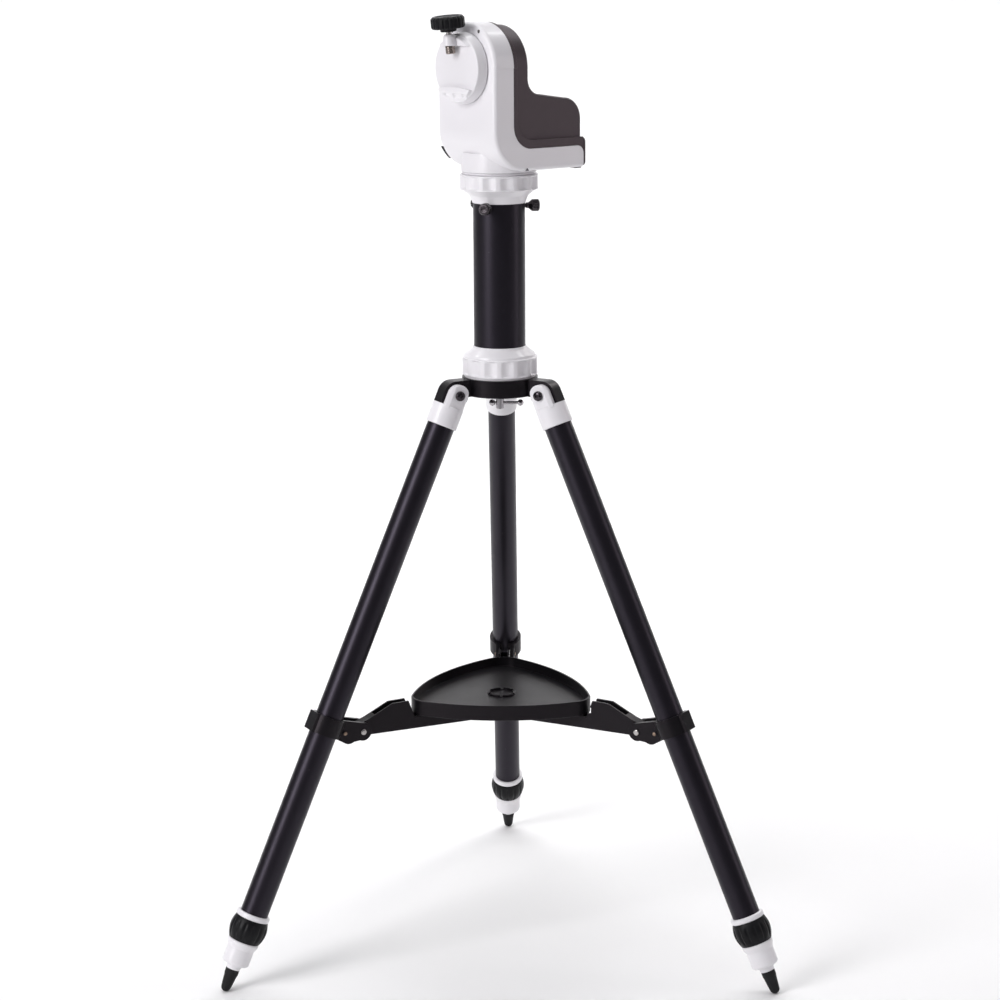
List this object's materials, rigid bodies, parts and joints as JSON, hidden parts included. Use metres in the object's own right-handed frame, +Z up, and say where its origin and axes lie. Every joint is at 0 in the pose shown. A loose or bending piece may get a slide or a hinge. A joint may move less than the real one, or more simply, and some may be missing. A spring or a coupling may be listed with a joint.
{
  "type": "star tracker mount",
  "caption": "Motorised alt-azimuth star tracker head with a dovetail saddle, on a short pier and a folding telescopic tripod with an accessory tray.",
  "frame": {"origin": "on the floor, under the azimuth axis", "axes": "+Z up along the azimuth axis; the rear leg points along +Y and the other two legs lie 120 degrees to each side"},
  "size_m": [0.6318, 0.5521, 1.0828],
  "materials": {
    "white_plastic": "moulded, glossy, faint shell texture",
    "dark_cover": "warm dark grey, fine spark-eroded grain",
    "black_plastic": "black nylon, satin",
    "knob_rubber": "soft-touch black over a hard core",
    "tube_paint": "black powder coat with a blue sheen",
    "hub_casting": "cast, black satin paint",
    "bolt_black": "black oxide",
    "chrome": "polished plate",
    "steel": "turned and brushed",
    "foot_rubber": "matte, slightly scuffed",
    "cast_aluminium": "as cast, machined bores",
    "gear_brass": "hobbed",
    "circuit": "solder mask",
    "cell_wrap": "plain shrink wrap",
    "inner_tube": "clear anodised"
  },
  "bodies": {
    "root": {"tripod_hub": "hub_casting", "leg_pivot_bolts": "bolt_black", "lower_cap": "white_plastic", "pier_tube": "tube_paint"},
    "adapter": {"top_cap": "white_plastic", "head_bolt": "steel", "azimuth_base": "white_plastic", "azimuth_wheel": "gear_brass"},
    "head": {"front_shell": "white_plastic", "rear_cover": "dark_cover", "port_panel": "black_plastic", "gear_frame": "cast_aluminium", "drive_motors": "steel", "circuit_board": "circuit", "cover_screws": "steel"},
    "saddle": {"saddle_disc": "white_plastic", "altitude_shaft": "steel", "altitude_wheel": "gear_brass"},
    "clamp_shoe": {"clamp_shoe": "steel"},
    "clamp_knob": {"clamp_knob": "knob_rubber", "clamp_screw": "steel"},
    "azimuth_worm": {"azimuth_worm": "steel"},
    "altitude_worm": {"altitude_worm": "steel"},
    "power_switch": {"power_switch": "black_plastic"},
    "battery_drawer": {"battery_drawer": "dark_cover", "battery_cells": "cell_wrap"},
    "centre_bolt": {"centre_bolt": "chrome"},
    "tommy_bar": {"tommy_bar": "chrome"},
    "spreader_hub": {"spreader_hub": "black_plastic"},
    "accessory_tray": {"accessory_tray": "black_plastic"},
    "thumbscrew_1": {"thumbscrew_1": "bolt_black"},
    "thumbscrew_2": {"thumbscrew_2": "bolt_black"},
    "thumbscrew_3": {"thumbscrew_3": "bolt_black"},
    "leg_1": {"leg_socket_1": "white_plastic", "leg_tube_1": "tube_paint", "lock_ring_1": "white_plastic", "spreader_clamp_1": "black_plastic"},
    "lower_leg_1": {"leg_inner_1": "inner_tube", "foot_1": "white_plastic", "foot_tip_1": "foot_rubber"},
    "twist_lock_1": {"twist_lock_1": "black_plastic"},
    "spreader_arm_1": {"spreader_arm_1": "black_plastic"},
    "leg_2": {"leg_socket_2": "white_plastic", "leg_tube_2": "tube_paint", "lock_ring_2": "white_plastic", "spreader_clamp_2": "black_plastic"},
    "lower_leg_2": {"leg_inner_2": "inner_tube", "foot_2": "white_plastic", "foot_tip_2": "foot_rubber"},
    "twist_lock_2": {"twist_lock_2": "black_plastic"},
    "spreader_arm_2": {"spreader_arm_2": "black_plastic"},
    "leg_3": {"leg_socket_3": "white_plastic", "leg_tube_3": "tube_paint", "lock_ring_3": "white_plastic", "spreader_clamp_3": "black_plastic"},
    "lower_leg_3": {"leg_inner_3": "inner_tube", "foot_3": "white_plastic", "foot_tip_3": "foot_rubber"},
    "twist_lock_3": {"twist_lock_3": "black_plastic"},
    "spreader_arm_3": {"spreader_arm_3": "black_plastic"}
  },
  "joints": [
    {"name": "adapter_lift", "type": "slide", "parent": "root", "child": "adapter", "axis": [0, 0, 1], "range_m": [0, 0.045]},
    {"name": "azimuth_turn", "type": "hinge", "parent": "adapter", "child": "head", "pos_m": [0, 0, 0.93], "axis": [0, 0, 1], "continuous": true},
    {"name": "altitude_turn", "type": "hinge", "parent": "head", "child": "saddle", "pos_m": [0, 0, 1.0245], "axis": [-0.7431, -0.6691, 0], "continuous": true},
    {"name": "clamp_slide", "type": "slide", "parent": "saddle", "child": "clamp_shoe", "axis": [0.0841, 0.0757, -0.9936], "range_m": [-0.0081, 0.0026]},
    {"name": "clamp_knob_turn", "type": "hinge", "parent": "clamp_shoe", "child": "clamp_knob", "pos_m": [-0.05083, -0.04577, 1.0405], "axis": [0.0841, 0.0757, -0.9936], "range_deg": [-1950, 630]},
    {"name": "azimuth_worm_spin", "type": "hinge", "parent": "head", "child": "azimuth_worm", "pos_m": [-0.02029, -0.01827, 0.945], "axis": [-0.6691, 0.7431, 0], "continuous": true},
    {"name": "altitude_worm_spin", "type": "hinge", "parent": "head", "child": "altitude_worm", "pos_m": [-0.01561, -0.01405, 0.9892], "axis": [-0.6691, 0.7431, 0], "continuous": true},
    {"name": "power_rocker", "type": "hinge", "parent": "head", "child": "power_switch", "pos_m": [-0.03112, 0.03725, 0.9306], "axis": [0.7431, 0.6691, 0], "range_deg": [0, 14]},
    {"name": "drawer_slide", "type": "slide", "parent": "head", "child": "battery_drawer", "axis": [0.7431, 0.6691, 0], "range_m": [0, 0.062]},
    {"name": "centre_bolt_turn", "type": "hinge", "parent": "root", "child": "centre_bolt", "pos_m": [0, 0, 0.645], "axis": [0, 0, 1], "continuous": true},
    {"name": "tommy_bar_slide", "type": "slide", "parent": "centre_bolt", "child": "tommy_bar", "axis": [1, 0, 0], "range_m": [-0.0143, 0]},
    {"name": "thumbscrew_1_turn", "type": "hinge", "parent": "root", "child": "thumbscrew_1", "pos_m": [-0.01273, -0.03368, 0.87], "axis": [-0.3535, -0.9354, 0], "range_deg": [0, 720]},
    {"name": "thumbscrew_2_turn", "type": "hinge", "parent": "root", "child": "thumbscrew_2", "pos_m": [0.03553, 0.00582, 0.87], "axis": [0.9869, 0.1616, 0], "range_deg": [0, 720]},
    {"name": "thumbscrew_3_turn", "type": "hinge", "parent": "root", "child": "thumbscrew_3", "pos_m": [-0.0228, 0.02786, 0.87], "axis": [-0.6334, 0.7738, 0], "range_deg": [0, 720]},
    {"name": "leg_1_fold", "type": "hinge", "parent": "root", "child": "leg_1", "pos_m": [-0.05257, -0.03035, 0.6605], "axis": [0.5, -0.866, 0], "range_deg": [0, 7]},
    {"name": "leg_1_extend", "type": "slide", "parent": "leg_1", "child": "lower_leg_1", "axis": [-0.3583, -0.2069, -0.9104], "range_m": [0, 0.35]},
    {"name": "twist_lock_1_turn", "type": "hinge", "parent": "leg_1", "child": "twist_lock_1", "pos_m": [-0.28547, -0.16482, 0.06874], "axis": [-0.3583, -0.2069, -0.9104], "range_deg": [0, 90]},
    {"name": "spreader_arm_1_swing", "type": "hinge", "parent": "leg_1", "child": "spreader_arm_1", "pos_m": [-0.16091, -0.0929, 0.2831], "axis": [0.5, -0.866, 0], "range_deg": [0, 38.4]},
    {"name": "leg_2_fold", "type": "hinge", "parent": "root", "child": "leg_2", "pos_m": [0.05257, -0.03035, 0.6605], "axis": [0.5, 0.866, 0], "range_deg": [0, 7.05]},
    {"name": "leg_2_extend", "type": "slide", "parent": "leg_2", "child": "lower_leg_2", "axis": [0.3583, -0.2069, -0.9104], "range_m": [0, 0.35]},
    {"name": "twist_lock_2_turn", "type": "hinge", "parent": "leg_2", "child": "twist_lock_2", "pos_m": [0.28547, -0.16482, 0.06874], "axis": [0.3583, -0.2069, -0.9104], "range_deg": [0, 90]},
    {"name": "spreader_arm_2_swing", "type": "hinge", "parent": "leg_2", "child": "spreader_arm_2", "pos_m": [0.16091, -0.0929, 0.2831], "axis": [0.5, 0.866, 0], "range_deg": [0, 38.4]},
    {"name": "leg_3_fold", "type": "hinge", "parent": "root", "child": "leg_3", "pos_m": [0, 0.0607, 0.6605], "axis": [-1, 0, 0], "range_deg": [0, 7.05]},
    {"name": "leg_3_extend", "type": "slide", "parent": "leg_3", "child": "lower_leg_3", "axis": [0, 0.4137, -0.9104], "range_m": [0, 0.35]},
    {"name": "twist_lock_3_turn", "type": "hinge", "parent": "leg_3", "child": "twist_lock_3", "pos_m": [0, 0.32963, 0.06874], "axis": [0, 0.4137, -0.9104], "range_deg": [0, 90]},
    {"name": "spreader_arm_3_swing", "type": "hinge", "parent": "leg_3", "child": "spreader_arm_3", "pos_m": [0, 0.1858, 0.2831], "axis": [-1, 0, 0], "range_deg": [0, 38.4]},
    {"name": "spreader_lift", "type": "slide", "parent": "root", "child": "spreader_hub", "axis": [0, 0, 1], "range_m": [0, 0.1046]},
    {"name": "tray_turn", "type": "hinge", "parent": "spreader_hub", "child": "accessory_tray", "pos_m": [0, 0, 0.2936], "axis": [0, 0, 1], "range_deg": [0, 60]}
  ],
  "couplings": [
    {"joint": "clamp_knob_turn", "follows": "clamp_slide", "rad_per_m": 4188.8},
    {"joint": "azimuth_worm_spin", "follows": "azimuth_turn", "ratio": 44},
    {"joint": "altitude_worm_spin", "follows": "altitude_turn", "ratio": 60},
    {"joint": "spreader_arm_1_swing", "follows": "leg_1_fold", "ratio": 5.457},
    {"joint": "spreader_arm_2_swing", "follows": "leg_1_fold", "ratio": 5.457},
    {"joint": "leg_2_fold", "follows": "leg_1_fold", "ratio": 1},
    {"joint": "spreader_arm_3_swing", "follows": "leg_1_fold", "ratio": 5.457},
    {"joint": "leg_3_fold", "follows": "leg_1_fold", "ratio": 1},
    {"joint": "spreader_lift", "follows": "leg_1_fold", "m_per_rad": 0.8545}
  ]
}
